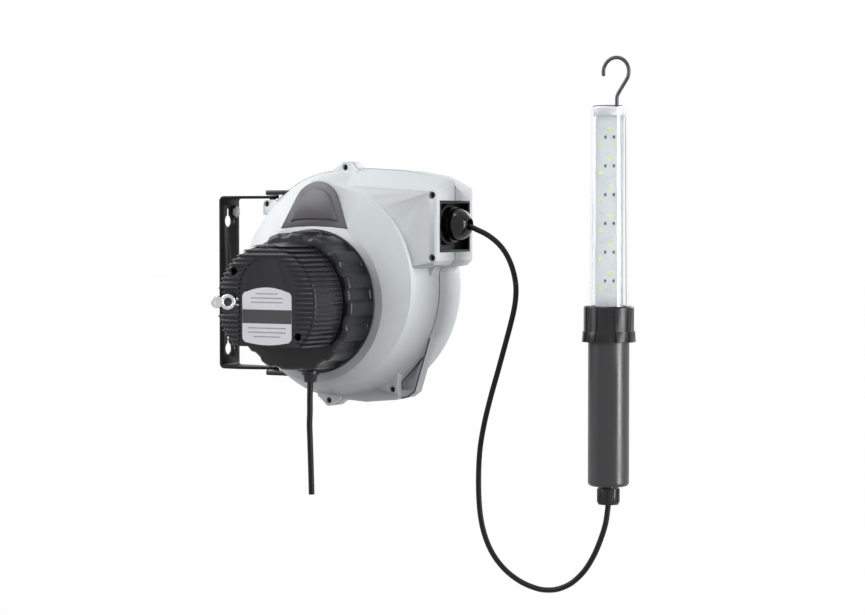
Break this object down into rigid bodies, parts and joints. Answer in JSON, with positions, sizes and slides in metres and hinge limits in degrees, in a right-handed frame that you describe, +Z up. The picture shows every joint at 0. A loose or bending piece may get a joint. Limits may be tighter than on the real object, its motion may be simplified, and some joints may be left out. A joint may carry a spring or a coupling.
{
  "type": "extension cord reel",
  "caption": "Wall-mounted spring-return cable reel with swivel bracket, built-in safety transformer, cable mouth with stop ball, and an LED hand lamp on the cable.",
  "frame": {"origin": "middle of the wall bracket's back face, on the wall plane", "axes": "+X away from the wall towards the cable mouth, -Y towards the transformer housing, +Z up"},
  "size_m": [0.5067, 0.2184, 0.5598],
  "materials": {
    "bracket_black": "semi-gloss powder coat",
    "plug_grey": "moulded",
    "washer_light": "moulded",
    "moulded_black": "fine spark texture",
    "pin_steel": "ground",
    "shell_grey": "fine spark texture",
    "screw_black": "black oxide",
    "cover_smoke": "polished",
    "label_silver": "satin film",
    "zinc": "zinc plated",
    "core_iron": "laminated",
    "coil_copper": "varnished wire",
    "plate_zinc": "zinc plated",
    "cord_black": "satin",
    "terminal_cream": "moulded",
    "lead_blue": "satin",
    "holder_brown": "moulded",
    "carbon": "pressed",
    "spring_steel": "rolled",
    "drum_grey": "moulded",
    "bush_bronze": "sintered",
    "disc_tan": "laminate",
    "ring_brass": "turned",
    "buffer_rubber": "matt",
    "roller_white": "moulded",
    "handle_black": "satin",
    "tube_clear": "clear, polished",
    "cap_white": "moulded",
    "board_white": "solder mask",
    "led_yellow": "phosphor, unlit",
    "hook_steel": "blackened wire"
  },
  "bodies": {
    "bracket": {"wall_bracket": "bracket_black", "hole_plug": "plug_grey", "pivot_washers": "washer_light"},
    "reel_case": {"pivot_lug_upper": "moulded_black", "pivot_lug_lower": "moulded_black", "pivot_pins": "pin_steel", "front_shell": "shell_grey", "rear_shell": "shell_grey", "case_screws": "screw_black", "connection_cover": "cover_smoke", "transformer_base": "moulded_black", "transformer_cover": "moulded_black", "cover_screws": "screw_black", "rating_label": "label_silver", "safety_eye": "zinc", "transformer_core": "core_iron", "transformer_coil": "coil_copper", "transformer_frame": "plate_zinc", "supply_gland": "moulded_black", "supply_cord": "cord_black", "terminal_block": "terminal_cream", "inner_leads": "lead_blue", "brush_holder": "holder_brown", "carbon_brushes": "carbon", "brush_springs": "spring_steel", "centre_shaft": "pin_steel", "shaft_clips": "pin_steel", "pawl_pin": "pin_steel", "pawl_spring": "spring_steel", "mouth_frame": "moulded_black", "roller_pins": "pin_steel", "stop_buffer": "buffer_rubber", "stop_ball_front": "moulded_black", "stop_ball_rear": "moulded_black", "stop_ball_screws": "pin_steel", "cable_run": "cord_black", "lamp_cord": "cord_black"},
    "drum": {"drum_front_half": "drum_grey", "drum_rear_half": "drum_grey", "drum_screws": "screw_black", "drum_bushes": "bush_bronze", "wound_cable": "cord_black", "slip_ring_disc": "disc_tan", "slip_rings": "ring_brass", "spring_cover": "plate_zinc", "main_spring": "spring_steel", "ratchet_ring": "core_iron"},
    "pawl": {"pawl": "plate_zinc"},
    "roller_upper": {"roller_upper": "roller_white"},
    "roller_lower": {"roller_lower": "roller_white"},
    "roller_front": {"roller_front": "roller_white"},
    "roller_rear": {"roller_rear": "roller_white"},
    "lamp": {"lamp_gland_nut": "moulded_black", "lamp_handle": "handle_black", "lamp_collar": "moulded_black", "lamp_tube": "tube_clear", "lamp_end_cap": "cap_white", "led_board": "board_white", "led_chips": "led_yellow"},
    "hook": {"hook": "hook_steel"}
  },
  "joints": [
    {"name": "bracket_swivel", "type": "hinge", "parent": "bracket", "child": "reel_case", "pos_m": [0.061, 0, 0], "axis": [0, 0, 1], "range_deg": [-30, 45]},
    {"name": "drum_spin", "type": "hinge", "parent": "reel_case", "child": "drum", "pos_m": [0.152, 0, -0.0175], "axis": [0, 1, 0], "continuous": true, "stiffness_Nm_per_rad": 0.009},
    {"name": "pawl_swing", "type": "hinge", "parent": "reel_case", "child": "pawl", "pos_m": [0.04859, 0.0418, 0.00073], "axis": [0, 1, 0], "range_deg": [0, 10.5], "stiffness_Nm_per_rad": 0.02},
    {"name": "roller_upper_spin", "type": "hinge", "parent": "reel_case", "child": "roller_upper", "pos_m": [0.261, 0, 0.0759], "axis": [0, 1, 0], "continuous": true},
    {"name": "roller_lower_spin", "type": "hinge", "parent": "reel_case", "child": "roller_lower", "pos_m": [0.261, 0, 0.0563], "axis": [0, 1, 0], "continuous": true},
    {"name": "roller_front_spin", "type": "hinge", "parent": "reel_case", "child": "roller_front", "pos_m": [0.2735, -0.0104, 0.0655], "axis": [0, 0, 1], "continuous": true},
    {"name": "roller_rear_spin", "type": "hinge", "parent": "reel_case", "child": "roller_rear", "pos_m": [0.2735, 0.0104, 0.0655], "axis": [0, 0, 1], "continuous": true},
    {"name": "lamp_lift", "type": "slide", "parent": "reel_case", "child": "lamp", "axis": [0, 0, 1], "range_m": [0, 0.06]},
    {"name": "hook_swivel", "type": "hinge", "parent": "lamp", "child": "hook", "pos_m": [0.4875, 0, 0.2], "axis": [0, 0, 1], "continuous": true}
  ],
  "couplings": [
    {"joint": "roller_lower_spin", "follows": "drum_spin", "ratio": 13.833}
  ]
}
